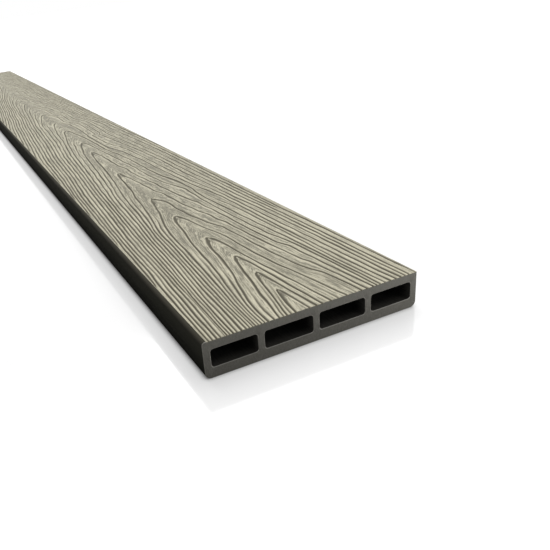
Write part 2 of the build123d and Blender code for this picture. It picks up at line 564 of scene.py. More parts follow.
    def _grooves(self) -> np.ndarray:
        """How deep each column is: grooves at the floors, and worn crowns where lines crowd together.

        Returns:
            Depths from 0 to 1, four columns for each ring.
        """
        pattern, floors = self.pattern, self.place[:, 1::4]
        gap = np.diff(floors, axis=1, append=floors[:, -1:] + pattern.open_gap)
        shared = np.minimum(self.strength, np.hstack([self.strength[:, 1:], self.strength[:, -1:]]))
        after = pattern.worn * shared * smooth_step((pattern.crowded - gap) / pattern.crowded)
        after[floors <= 0.0] = 0.0
        before = np.hstack([np.zeros_like(after[:, :1]), after[:, :-1]])
        return self._per_ring(before, self.strength, after, after)

    def _tones(self, rings: int) -> np.ndarray:
        """The seeded tone of each crown, from -1 to 1.

        Args:
            rings: How many rings there are.

        Returns:
            Tones, four columns for each ring.
        """
        draw = np.random.default_rng((self.pattern.seed, self.arms.side.value + 1, 4))
        after = draw.uniform(-1, 1, rings)
        before = np.roll(after, 1)
        row = np.stack([before, (before + after) / 2, after, after], axis=1).reshape(-1)
        return np.repeat(row[None, :], len(self.stations), axis=0)

    def _breadth(self) -> np.ndarray:
        """How broad the crown is at each column: 0 at its rims, up to 1 in the middle of a wide one.

        Returns:
            Breadths, four columns for each ring.
        """
        pattern, start = self.pattern, self.place[:, 2::4]
        end = np.hstack([self.place[:, 4::4], self.reach[:, None]])
        crown = end - start
        hidden = np.clip((pattern.shown_from - self.strength) / pattern.hiding, 0.0, 1.0)
        before = hidden * np.hstack([crown[:, :1], crown[:, :-1]])
        after = np.hstack([hidden[:, 1:] * crown[:, 1:], np.zeros_like(crown[:, :1])])
        wide = (crown + before + after - pattern.narrow_crown) / pattern.crown_range
        wide = np.clip(wide, 0.0, 1.0)
        return self._per_ring(hidden * wide, hidden * wide, hidden * wide, wide)

    def _painted_side_light(self) -> np.ndarray:
        """Painted light and shade on the wide crowns left of the spine: a painted highlight on one side of
        a line, painted shade on the other.

        Returns:
            Values from -1 to 1, four columns for each ring, and nought right of the spine.
        """
        wide = self.breadth[:, 3::4]
        before = np.hstack([wide[:, :1], wide[:, :-1]])
        lit = 1.0 if self.arms.side is Side.LEFT else 0.0
        return lit * self._per_ring(-before, (wide - before) / 2, wide, 0.3 * wide)

    def _steepness(self, levels: np.ndarray) -> np.ndarray:
        """Rings passed for each millimetre square to the lines, at each level.

        Args:
            levels: Ring numbers, a row for each station.

        Returns:
            The steepness, in rings for each millimetre.
        """
        rate = np.empty_like(levels)
        place = np.empty_like(levels)
        for row, (rungs, places) in enumerate(self.ladders):
            place[row] = np.interp(levels[row], rungs, places)
            inner = np.interp(place[row] - 1.0, places, rungs)
            outer = np.interp(place[row] + 1.0, places, rungs)
            rate[row] = (outer - inner) / 2.0
        slope_and_painted_side_light = np.gradient(self.spine[:, None] + self.arms.side.value * place, self.stations, axis=0)
        along = np.gradient(self.base, self.stations)[:, None]
        return np.maximum(rate * np.hypot(1.0, np.clip(slope_and_painted_side_light, -1.2, 1.2)), np.hypot(rate, along))

    def _places(self, levels: np.ndarray) -> np.ndarray:
        """Distance of each level from the spine, never shrinking towards the front past the drawn lines.

        Args:
            levels: Ring numbers, a row for each station.

        Returns:
            Distances in millimetres, 0 where the ring has closed and the full reach past the edge.
        """
        places = np.array([np.interp(row, *ladder) for row, ladder in zip(levels, self.ladders)])
        free = self.stations > self.arms.drawn_to
        places[free] = np.maximum.accumulate(places[free][::-1], axis=0)[::-1]
        return np.minimum(places, self.reach[:, None])


@dataclass
class Section:
    """The hollow section, in metres."""

    low: Vector
    high: Vector
    side_wall: float = 4.6 * MM
    web_wall: float = 4.4 * MM
    face_wall: float = 6.1 * MM
    back_wall: float = 7.0 * MM
    cell_count: int = 4
    inner_cell_extra: float = 2.8 * MM
    cell_corner: float = 1.9 * MM
    face_corner: float = 2.0 * MM
    sharp_corner: float = 0.8 * MM
    back_corner: float = 4.0 * MM
    sawn_break: float = 0.3 * MM
    lit_mouth: float = 10 * MM

    @property
    def width(self) -> float:
        """Width across the board."""
        return self.high.x - self.low.x

    @property
    def length(self) -> float:
        """Length along the board."""
        return self.high.y - self.low.y

    @property
    def height(self) -> float:
        """Thickness of the board."""
        return self.high.z - self.low.z

    @property
    def cell_height(self) -> float:
        """Height of the cells, between the back wall and the face wall."""
        return self.height - self.face_wall - self.back_wall

    def cells(self) -> list[tuple[float, float]]:
        """Middle and width of each cell, from left to right.

        Returns:
            Pairs of the middle's X and the width.
        """
        inner = self.cell_count - 2
        walls = 2 * self.side_wall + (self.cell_count - 1) * self.web_wall
        outer_width = (self.width - walls - inner * self.inner_cell_extra) / self.cell_count
        spans = []
        left = self.low.x + self.side_wall
        for index in range(self.cell_count):
            extra = self.inner_cell_extra if 0 < index < self.cell_count - 1 else 0.0
            spans.append((left + (outer_width + extra) / 2, outer_width + extra))
            left += outer_width + extra + self.web_wall
        return spans

    def rim(self, steps: int) -> tuple[np.ndarray, np.ndarray]:
        """Outline from the right rim of the face, round the back, to the left rim of the face.

        Args:
            steps: How many straight pieces each rounded edge has.

        Returns:
            The X and Z of each point, clockwise as seen from the front, and the way out at each.
        """
        middle = self.low.z + self.height / 2
        corners = ((self.high.x, self.high.z, self.sharp_corner),
                   (self.high.x, self.low.z, self.back_corner),
                   (self.low.x, self.low.z, self.back_corner),
                   (self.low.x, self.high.z, self.face_corner))
        points, ways = [], []
        for turn, (x, z, radius) in enumerate(corners):
            centre = (x - math.copysign(radius, x), z - math.copysign(radius, z - middle))
            for angle in np.linspace(turn, turn + 1, steps + 1) * math.pi / 2:
                way = (math.sin(angle), math.cos(angle))
                points.append((centre[0] + radius * way[0], centre[1] + radius * way[1]))
                ways.append(way)
        return np.array(points), np.array(ways)


def nothing_selected() -> None:
    """Leave edit mode and deselect every object."""
    if bpy.context.object and bpy.context.object.mode != "OBJECT":
        bpy.ops.object.mode_set(mode="OBJECT")
    bpy.ops.object.select_all(action="DESELECT")


def work_on(piece: bpy.types.Object) -> None:
    """Make one piece the only selected and active object.

    Args:
        piece: The piece to work on.
    """
    nothing_selected()
    piece.select_set(True)
    bpy.context.view_layer.objects.active = piece


def pick_faces(piece: bpy.types.Object, wanted: Callable[[bpy.types.MeshPolygon], bool]) -> None:
    """Select the faces that pass a test, and enter edit mode in face select.

    Args:
        piece: The piece whose faces are picked.
        wanted: The test that a face has to pass.
    """
    bpy.ops.object.mode_set(mode="EDIT")
    bpy.ops.mesh.select_mode(type="FACE")
    bpy.ops.mesh.select_all(action="DESELECT")
    bpy.ops.object.mode_set(mode="OBJECT")
    for face in piece.data.polygons:
        face.select = wanted(face)
    bpy.ops.object.mode_set(mode="EDIT")


def pick_edges(piece: bpy.types.Object, wanted: Callable[[Vector, Vector], bool]) -> None:
    """Select the edges whose two ends pass a test, and enter edit mode in edge select.

    Args:
        piece: The piece whose edges are picked.
        wanted: The test on the places of an edge's two ends.
    """
    bpy.ops.object.mode_set(mode="EDIT")
    bpy.ops.mesh.select_mode(type="EDGE")
    bpy.ops.mesh.select_all(action="DESELECT")
    bpy.ops.object.mode_set(mode="OBJECT")
    points = piece.data.vertices
    for edge in piece.data.edges:
        edge.select = wanted(points[edge.vertices[0]].co, points[edge.vertices[1]].co)
    bpy.ops.object.mode_set(mode="EDIT")


def read_all(items: bpy.types.bpy_prop_collection, name: str, width: int = 1,
             kind: type = float) -> np.ndarray:
    """Read one property of every item of a mesh.

    Args:
        items: The mesh's points, corners or faces.
        name: The property.
        width: How many numbers each item has.
        kind: The kind of number.

    Returns:
        The values, one row for each of an item's numbers.
    """
    values = np.empty(len(items) * width, dtype=kind)
    items.foreach_get(name, values)
    return values.reshape(-1, width).T


@dataclass
class Cell:
    """One cell of the section: a long tube with rounded corners and softened mouths."""

    section: Section
    middle: float
    width: float
    corner_steps: int = 4

    def build(self, name: str) -> bpy.types.Object:
        """Model the cell's wall as seen from inside it.

        Args:
            name: The name of the new object.

        Returns:
            The wall, open at both ends, with its faces turned into the cell.
        """
        section = self.section
        height = section.cell_height
        level = section.low.z + section.back_wall + height / 2
        length = section.length - 2 * section.sawn_break
        nothing_selected()
        bpy.ops.mesh.primitive_cube_add(size=1.0, location=(self.middle, 0.0, level))
        wall = bpy.context.object
        wall.name = name
        bpy.ops.object.mode_set(mode="EDIT")
        bpy.ops.transform.resize(value=(self.width, length, height), center_override=wall.location)
        bpy.ops.object.mode_set(mode="OBJECT")
        bpy.ops.object.transform_apply(location=True, rotation=True, scale=True)
        pick_edges(wall, lambda a, b: abs(a.y - b.y) > length / 2)
        bpy.ops.mesh.bevel(offset=section.cell_corner, segments=self.corner_steps, profile=0.5)
        bpy.ops.object.mode_set(mode="OBJECT")
        for end in (-1, 1):
            self._open_mouth(wall, end, Vector((self.middle, end * section.length / 2, level)), height)
        bpy.ops.mesh.select_all(action="SELECT")
        bpy.ops.mesh.flip_normals()
        bpy.ops.object.mode_set(mode="OBJECT")
        return wall

    def _open_mouth(self, wall: bpy.types.Object, end: int, middle: Vector, height: float) -> None:
        """Flare one end of the cell by the break of its sawn edge, and open it.

        Args:
            wall: The cell's wall.
            end: Which end, as the sign of Y.
            middle: The middle of the mouth.
            height: The cell's height.
        """
        flare = self.section.sawn_break
        pick_faces(wall, lambda face: face.normal.y * end > 0.9)
        bpy.ops.mesh.extrude_region_move(TRANSFORM_OT_translate={"value": (0.0, end * flare, 0.0)})
        growth = ((self.width + 2 * flare) / self.width, 1.0, (height + 2 * flare) / height)
        bpy.ops.transform.resize(value=growth, center_override=middle)
        bpy.ops.mesh.delete(type="FACE")


@dataclass
class GrainSheet:
    """The face's columns from its left rim to its right rim, with what each point carries."""

    section: Section
    pattern: GrainPattern
    press_depth: float = 0.7 * MM
    crown_lift: float = 0.10 * MM
    left_margin: float = 2.8 * MM
    station_step: float = 6.0
    least_step: float = 0.3
    end_gap: float = 0.4
    tip_offsets: tuple[float, ...] = (-6.5, -3.8, -2.2, -1.3, -0.85, -0.4, 0.0, 0.4, 0.85, 2.0)

    def __post_init__(self) -> None:
        """Lay out the columns of both sides and the spine between them."""
        section = self.section
        self.stations = self._stations()
        spine = self.pattern.spine_x(self.stations)
        left_edge = self.left_margin / MM
        right_edge = (section.width - section.sharp_corner) / MM
        left = GrainColumns(self.pattern, self.pattern.left, self.stations, spine, spine - left_edge)
        right = GrainColumns(self.pattern, self.pattern.right, self.stations, spine, right_edge - spine)
        spine_values = self._along_spine((left, right))
        parts = [self._side(left, spine, spine_values),
                 {name: values[:, None] for name, values in spine_values.items()} | {"x": spine[:, None]},
                 self._side(right, spine, spine_values)]
        self.values = {name: np.hstack([part[name] for part in parts]) for name in parts[0]}
        groove = self.values["groove"]
        fall = self.press_depth * groove + self.crown_lift * self.values["drop"] * (1.0 - groove)
        self.x = self.values["x"] * MM + section.low.x
        self.z = section.high.z - fall

    def _stations(self) -> np.ndarray:
        """Stations of the rows, closer together round each tip, in millimetres."""
        length = self.section.length / MM
        sawn = self.section.sawn_break / MM
        even = np.linspace(0.0, length, int(length / self.station_step) + 1)[1:-1]
        tips = [tip + offset for tip in self.pattern.right.tips for offset in self.tip_offsets]
        margin = sawn + self.end_gap
        inside = [station for station in (*even, *tips) if margin < station < length - margin]
        rows = np.unique(np.round(inside, 2))
        rows = rows[np.concatenate([[True], np.diff(rows) > self.least_step])]
        return np.concatenate([[0.0, sawn], rows, [length - sawn, length]])

    def _along_spine(self, sides: tuple[GrainColumns, ...]) -> dict[str, np.ndarray]:
        """What the spine carries, where it crosses the ring tips.

        Args:
            sides: The columns on both sides, which give each ring's strength and tone.

        Returns:
            The groove depth, tone, ring number, breadth, painted side light and shade, and drop at each
            station.
        """
        rows = np.arange(len(self.stations))
        groove = np.zeros(len(rows))
        breadth = np.ones(len(rows))
        widest = self.pattern.half_width * (1.0 + self.pattern.tip_swell)
        for side in sides:
            slope = np.gradient(side.base, self.stations)
            nearest = np.clip(np.round(side.base).astype(int), 0, side.strength.shape[1] - 1)
            away = np.abs(side.base - nearest) / slope / widest
            depth = side.strength[rows, nearest]
            groove = np.maximum(groove, depth * np.clip(1.0 - away, 0.0, 1.0))
            breadth = np.minimum(breadth, np.clip((away - 1.0) / 3.0, 1.0 - depth, 1.0))
        left = sides[0]
        crown = np.clip(np.floor(left.base).astype(int), 0, left.strength.shape[1] - 1)
        tone = left.tone[rows, 4 * crown + 3]
        return {"groove": groove, "tone": tone, "ring": left.base, "breadth": breadth,
                "slope_and_painted_side_light": np.zeros(len(rows)), "drop": 0.5 - 0.5 * tone}

    def _side(self, side: GrainColumns, spine: np.ndarray,
              spine_values: dict[str, np.ndarray]) -> dict[str, np.ndarray]:
        """What the columns on one side carry, from left to right.

        Args:
            side: The columns of the side.
            spine: X of the spine at each station.
            spine_values: What the spine carries, which closed rings share.

        Returns:
            A table for each value, a row for each station.
        """
        def settle(table: np.ndarray, name: str) -> np.ndarray:
            """Give closed rings what the spine carries, and nought past the edge."""
            inside = np.where(side.outside, 0.0, table)
            return np.where(side.closed, spine_values[name][:, None], inside)

        order = slice(None, None, side.arms.side.value)
        own = {name: getattr(side, name) for name in ("groove", "tone", "ring", "breadth", "slope_and_painted_side_light")}
        own["drop"] = 0.5 - 0.5 * side.tone
        values = {name: settle(table, name) for name, table in own.items()}
        values["x"] = spine[:, None] + side.arms.side.value * side.place
        return {name: table[:, order] for name, table in values.items()}


@dataclass(frozen=True)
class Strips:
    """Where each surface lies in the UV map: the start and the breadth of its strip."""

    length: float = 0.93
    band: float = 0.006
    face: tuple[float, float] = (0.0, 0.62)
    right: tuple[float, float] = (0.63, 0.05)
    left: tuple[float, float] = (0.69, 0.05)
    back: tuple[float, float] = (0.75, 0.12)
    cells: tuple[float, float] = (0.88, 0.12)
    cell_start: float = 0.05
    cell_wall: float = 0.22
    end_up: tuple[float, float] = (0.94, 0.055)
    end_across: tuple[float, float] = (0.005, 0.99)
    end_share: float = 0.48
    far_end: float = 0.5

    def place(self, strip: tuple[float, float], share: np.ndarray) -> np.ndarray:
        """Carry shares of a surface's breadth over to its strip.

        Args:
            strip: The strip's start and breadth.
            share: The shares, from 0 to 1.

        Returns:
            The places in the map.
        """
        return strip[0] + strip[1] * share


@dataclass
class FenceBoard:
    """The whole board as one closed mesh, with the grain pressed into its face."""

    section: Section
    pattern: GrainPattern = field(default_factory=GrainPattern)
    corner_steps: int = 5
    lit_rim: float = 0.3 * MM
    crease: float = 38.0
    weld: float = 2e-6
    level_slack: float = 1e-6
    # The last one carries painted light and shade beside the lines.
    attributes: tuple[str, ...] = ("groove", "tone", "ring", "breadth", "slope_and_painted_side_light")
    strips: Strips = field(default_factory=Strips)

    def build(self) -> bpy.types.Object:
        """Model the board.

        Returns:
            The finished board, with a material slot number on each face.
        """
        sheet = GrainSheet(self.section, self.pattern)
        board = self._lay_skin(sheet)
        walls = [Cell(self.section, middle, width).build(f"cell_wall_{index}")
                 for index, (middle, width) in enumerate(self.section.cells())]
        skin_faces = len(board.data.polygons)
        work_on(board)
        for wall in walls:
            wall.select_set(True)
        bpy.ops.object.join()
        wall_faces = len(board.data.polygons)
        self._close_ends(board)
        self._sort_surfaces(board, skin_faces, wall_faces, sheet)
        self._unfold(board, skin_faces, wall_faces)
        work_on(board)
        bpy.ops.object.shade_smooth_by_angle(angle=math.radians(self.crease))
        return board

    def _lay_skin(self, sheet: GrainSheet) -> bpy.types.Object:
        """Lay a sheet round the section, with its columns along the grain lines.

        Args:
            sheet: The face's columns.

        Returns:
            The outer skin, open at both ends.
        """
        section = self.section
        rows = len(sheet.stations)
        points, ways = section.rim(self.corner_steps)
        inset = np.zeros(rows)
        inset[[0, -1]] = section.sawn_break
        rim_x = points[None, :, 0] - inset[:, None] * ways[None, :, 0]
        rim_z = points[None, :, 1] - inset[:, None] * ways[None, :, 1]
        face_z = sheet.z - inset[:, None]
        x = np.hstack([sheet.x, rim_x, sheet.x[:, :1]])
        z = np.hstack([face_z, rim_z, face_z[:, :1]])
        y = np.repeat((sheet.stations * MM + section.low.y)[:, None], x.shape[1], axis=1)
        nothing_selected()
        bpy.ops.mesh.primitive_grid_add(x_subdivisions=x.shape[1] - 1, y_subdivisions=rows - 1, size=1.0)
        skin = bpy.context.object
        skin.name = NODE + "_dressed"
        skin.data.name = skin.name
        places = np.stack([x, y, z], axis=2)
        skin.data.vertices.foreach_set("co", places.astype(np.float32).ravel())
        plain = np.zeros_like(rim_x)
        for name in self.attributes:
            face = sheet.values[name]
            values = np.hstack([face, plain, face[:, :1]])
            attribute = skin.data.attributes.new(name, "FLOAT", "POINT")
            attribute.data.foreach_set("value", values.astype(np.float32).ravel())
        skin.data.update()
        bpy.ops.object.mode_set(mode="EDIT")
        bpy.ops.mesh.select_all(action="SELECT")
        bpy.ops.mesh.remove_doubles(threshold=self.weld)
        bpy.ops.mesh.normals_make_consistent(inside=False)
        bpy.ops.object.mode_set(mode="OBJECT")
        return skin

    def _close_ends(self, board: bpy.types.Object) -> None:
        """Close both sawn ends between the skin and the mouths of the cells.

        Args:
            board: The skin and the cell walls, joined.
        """
        work_on(board)
        for level in (self.section.low.y, self.section.high.y):
            pick_edges(board, lambda a, b, y=level: max(abs(a.y - y), abs(b.y - y)) < self.level_slack)
            bpy.ops.mesh.fill(use_beauty=True)
        bpy.ops.mesh.select_all(action="SELECT")
        bpy.ops.mesh.normals_make_consistent(inside=False)
        bpy.ops.object.mode_set(mode="OBJECT")

    def _sort_surfaces(self, board: bpy.types.Object, skin_faces: int, wall_faces: int,
                       sheet: GrainSheet) -> None:
        """Give each face the number of the surface that it belongs to.

        Args:
            board: The closed board.
            skin_faces: How many faces the outer skin has.
            wall_faces: How many faces the skin and the cell walls have together.
            sheet: The face's columns.
        """
        section = self.section
        x, y, z = read_all(board.data.polygons, "center", 3)
        order = np.arange(len(x))
        surface = np.full(len(x), Surface.EXTRUDED_SKIN.value)
        upper = z > section.high.z - section.face_corner
        surface[upper] = Surface.ROUNDED_EDGE.value
        on_face = x > section.low.x + sheet.left_margin
        on_face &= (x < section.high.x - section.sharp_corner) | (z > section.high.z - self.lit_rim)
        near_end = np.abs(y) > section.length / 2 - section.sawn_break
        surface[near_end] = Surface.BROKEN_EDGE.value
        surface[upper & on_face] = Surface.GRAIN_FACE.value
        surface[(order >= skin_faces) & (order < wall_faces) & ~near_end] = Surface.CELL_WALL.value
        surface[order >= wall_faces] = Surface.SAWN_END.value
        board.data.polygons.foreach_set("material_index", surface.astype(np.int32))

    def _unfold(self, board: bpy.types.Object, skin_faces: int, wall_faces: int) -> None:
        """Lay the surfaces out flat in a UV map, the face broad and the rest in strips beside it.

        Args:
            board: The closed board, with its surfaces sorted.
            skin_faces: How many faces the outer skin has.
            wall_faces: How many faces the skin and the cell walls have together.
        """
        section, strips, mesh = self.section, self.strips, board.data
        corners = read_all(mesh.polygons, "loop_total", kind=int)[0]
        at = read_all(mesh.loops, "vertex_index", kind=int)[0]
        x, y, z = read_all(mesh.vertices, "co", 3)[:, at]
        side, end, top = np.repeat(read_all(mesh.polygons, "normal", 3), corners, axis=1)
        centre_x = np.repeat(read_all(mesh.polygons, "center", 3)[0], corners)
        order = np.repeat(np.arange(len(corners)), corners)
        across = (x - section.low.x) / section.width
        up = (z - section.low.z) / section.height
        near, far = section.low.y + section.sawn_break, section.high.y - section.sawn_break
        u = np.interp(y, (section.low.y, near, far, section.high.y),
                      (0.0, strips.band, strips.length - strips.band, strips.length))
        flank = np.abs(side) > np.abs(top)
        v = strips.place(strips.back, across)
        v = np.where(top > 0, strips.place(strips.face, across), v)
        v = np.where(flank & (side > 0), strips.place(strips.right, up), v)
        v = np.where(flank & (side < 0), strips.place(strips.left, up), v)
        rise = (z - section.low.z - section.back_wall) / section.cell_height
        in_cell = (order >= skin_faces) & (order < wall_faces)
        for index, (middle, width) in enumerate(section.cells()):
            share = (x - middle) / width + 0.5
            wall = np.where(side > 0, 1 + rise, 3 + rise)
            turned = np.where(flank, wall, np.where(top > 0, share, 2 + share))
            here = in_cell & (np.abs(centre_x - middle) < (width + section.web_wall) / 2)
            row = (index + strips.cell_start + strips.cell_wall * turned) / section.cell_count
            v = np.where(here, strips.place(strips.cells, row), v)
        sawn = order >= wall_faces
        u = np.where(sawn, strips.place(strips.end_up, up), u)
        both = strips.far_end * (end > 0) + strips.end_share * across
        v = np.where(sawn, strips.place(strips.end_across, both), v)
        layer = mesh.uv_layers.new(name="OFBake")
        layer.data.foreach_set("uv", np.stack((u, v), axis=1).astype(np.float32).ravel())


class Graph:
    """A node tree with short ways to add nodes and to join them."""

    def __init__(self, tree: bpy.types.NodeTree) -> None:
        """Take over an empty tree."""
        self.tree = tree

    def add(self, kind: str, **settings: object) -> bpy.types.Node:
        """Add one node.

        Args:
            kind: The node's type.
            **settings: Properties to set on the node.

        Returns:
            The new node.
        """
        node = self.tree.nodes.new(kind)
        for name, value in settings.items():
            setattr(node, name, value)
        return node

    def feed(self, socket: bpy.types.NodeSocket, value: object) -> None:
        """Join a value to a socket, or set it there when it is constant.

        Args:
            socket: The input socket.
            value: An output socket, a number, or a colour of three numbers.
        """
        if isinstance(value, bpy.types.NodeSocket):
            self.tree.links.new(value, socket)
        elif isinstance(value, tuple) and socket.type == "RGBA":
            socket.default_value = (*value, 1.0)
        else:
            socket.default_value = value

    def feed_all(self, node: bpy.types.Node, values: dict[str, object]) -> None:
        """Join or set several of a node's inputs.

        Args:
            node: The node.
            values: What goes to each input, by its name.
        """
        for name, value in values.items():
            self.feed(node.inputs[name], value)

    def math(self, operation: str, *values: object, clamp: bool = False) -> bpy.types.NodeSocket:
        """Work out a number from one, two or three others.

        Args:
            operation: The Math node's operation.
            *values: Its inputs, in order.
            clamp: Whether the result is held between 0 and 1.

        Returns:
            The result.
        """
        node = self.add("ShaderNodeMath", operation=operation, use_clamp=clamp)
        for socket, value in zip(node.inputs, values):
            self.feed(socket, value)
        return node.outputs[0]

    def total(self, start: object, *parts: tuple[object, object],
              clamp: bool = False) -> bpy.types.NodeSocket:
        """Add weighted parts to a start value.

        Args:
            start: The start value.
            *parts: Pairs of a value and its weight.
            clamp: Whether the result is held between 0 and 1.

        Returns:
            The result.
        """
        last = len(parts) - 1
        for index, (value, weight) in enumerate(parts):
            start = self.math("MULTIPLY_ADD", value, weight, start, clamp=clamp and index == last)
        return start

    def about_nought(self, value: object) -> bpy.types.NodeSocket:
        """Move a value round 0.5 to one round 0."""
        return self.math("SUBTRACT", value, 0.5)

    def ramp(self, value: object, low: float, high: float, start: float = 0.0,
             end: float = 1.0) -> bpy.types.NodeSocket:
        """Carry a range of values over to another one, with soft ends.

        Args:
            value: The value to carry over.
            low: Where the range starts.
            high: Where the range ends.
            start: What the start becomes.
            end: What the end becomes.

        Returns:
            The new value.
        """
        node = self.add("ShaderNodeMapRange", interpolation_type="SMOOTHSTEP")
        self.feed_all(node, {"Value": value, "From Min": low, "From Max": high,
                             "To Min": start, "To Max": end})
        return node.outputs["Result"]

    def blend(self, share: object, first: object, second: object) -> bpy.types.NodeSocket:
        """Mix two colours.

        Args:
            share: How much of the second colour shows.
            first: The first colour.
            second: The second colour.

        Returns:
            The mixed colour.
        """
        node = self.add("ShaderNodeMix", data_type="RGBA")
        self.feed(node.inputs[0], share)
        self.feed(node.inputs[6], first)
        self.feed(node.inputs[7], second)
        return node.outputs[2]

    def noise(self, place: bpy.types.NodeSocket, scale: float, detail: float = 2.0,
              roughness: float = 0.5) -> bpy.types.NodeSocket:
        """Smooth noise at a place.

        Args:
            place: Where to read it.
            scale: How fine it is.
            detail: How many finer layers it has.
            roughness: How strong those layers are.

        Returns:
            A value round 0.5.
        """
        node = self.add("ShaderNodeTexNoise", noise_dimensions="3D")
        self.feed_all(node, {"Vector": place, "Scale": scale, "Detail": detail, "Roughness": roughness})
        return node.outputs["Fac"]

    def place(self) -> bpy.types.NodeSocket:
        """The place on the board, in metres."""
        return self.add("ShaderNodeTexCoord").outputs["Object"]

    def axes(self) -> bpy.types.NodeOutputs:
        """The place on the board, split into X, Y and Z."""
        node = self.add("ShaderNodeSeparateXYZ")
        self.feed(node.inputs[0], self.place())
        return node.outputs

    def carried(self, name: str) -> bpy.types.NodeSocket:
        """What the mesh carries under a name."""
        return self.add("ShaderNodeAttribute", attribute_name=name).outputs["Fac"]

    def stretched(self, place: bpy.types.NodeSocket, by: Triple) -> bpy.types.NodeSocket:
        """Stretch a place by a factor on each axis."""
        node = self.add("ShaderNodeVectorMath", operation="MULTIPLY")
        self.feed(node.inputs[0], place)
        self.feed(node.inputs[1], by)
        return node.outputs[0]

    def scaled(self, place: bpy.types.NodeSocket, scale: object) -> bpy.types.NodeSocket:
        """Stretch a place by one factor on all three axes."""
        node = self.add("ShaderNodeVectorMath", operation="SCALE")
        self.feed(node.inputs[0], place)
        self.feed(node.inputs["Scale"], scale)
        return node.outputs[0]

    def bump(self, height: object, strength: float, distance: float) -> bpy.types.NodeSocket:
        """Roughen the surface by a height."""
        node = self.add("ShaderNodeBump")
        self.feed_all(node, {"Height": height, "Strength": strength, "Distance": distance})
        return node.outputs["Normal"]


class Effects:
    """The effects that more than one finish shares, each built once."""

    grain_stretch: Triple = (1.0, 0.35, 1.0)
    die_stretch: Triple = (1.0, 0.012, 1.0)

    @staticmethod
    def _start(name: str, inputs: tuple[str, ...],
               outputs: tuple[str, ...]) -> tuple[Graph, bpy.types.Node, bpy.types.Node]:
        """Start a node group.

        Args:
            name: Its name.
            inputs: Names of its number inputs.
            outputs: Names of its number outputs.

        Returns:
            Its graph, its input node and its output node.
        """
        tree = bpy.data.node_groups.new(name, "ShaderNodeTree")
        for given in inputs:
            tree.interface.new_socket(given, in_out="INPUT", socket_type="NodeSocketFloat")
        for made in outputs:
            tree.interface.new_socket(made, in_out="OUTPUT", socket_type="NodeSocketFloat")
        graph = Graph(tree)
        return graph, graph.add("NodeGroupInput"), graph.add("NodeGroupOutput")

    def __init__(self) -> None:
        """Build the shared effects."""
        self.flour = self._wood_flour()
        self.die = self._die_lines()

    def _wood_flour(self) -> bpy.types.NodeTree:
        """Flecks of wood flour in the plastic: a mask and a height, both from 0 to 1."""
        graph, given, made = self._start("wood_flour", ("Scale",), ("Flecks", "Height"))
        place = graph.scaled(graph.stretched(graph.place(), self.grain_stretch), given.outputs["Scale"])
        flecks = graph.noise(place, 1.0, 3.0, 0.65)
        graph.feed_all(made, {"Flecks": graph.ramp(flecks, 0.42, 0.68), "Height": flecks})
        return graph.tree

    def _die_lines(self) -> bpy.types.NodeTree:
        """Faint lines left along the board by the die: a value from 0 to 1."""
        graph, given, made = self._start("die_lines", ("Fineness",), ("Lines",))
        place = graph.scaled(graph.stretched(graph.place(), self.die_stretch), given.outputs["Fineness"])
        graph.feed(made.inputs["Lines"], graph.ramp(graph.noise(place, 1.0, 4.0, 0.6), 0.3, 0.7))
        return graph.tree


def use_effect(graph: Graph, effect: bpy.types.NodeTree, **values: float) -> bpy.types.Node:
    """Put a shared effect into a finish.

    Args:
        graph: The finish's graph.
        effect: The node group.
        **values: Numbers for its inputs.

    Returns:
        The group's node.
    """
    node = graph.add("ShaderNodeGroup", node_tree=effect)
    graph.feed_all(node, values)
    return node


def start_finish(name: str) -> tuple[bpy.types.Material, Graph, bpy.types.Node]:
    """Start a material with a Principled shader.

    Args:
        name: The material's name.

    Returns:
        The material, its graph and its shader node.
    """
    material = bpy.data.materials.new(name)
    material.use_nodes = True
    material.node_tree.nodes.clear()
    graph = Graph(material.node_tree)
    shader = graph.add("ShaderNodeBsdfPrincipled")
    output = graph.add("ShaderNodeOutputMaterial")
    graph.feed(output.inputs["Surface"], shader.outputs["BSDF"])
    return material, graph, shader


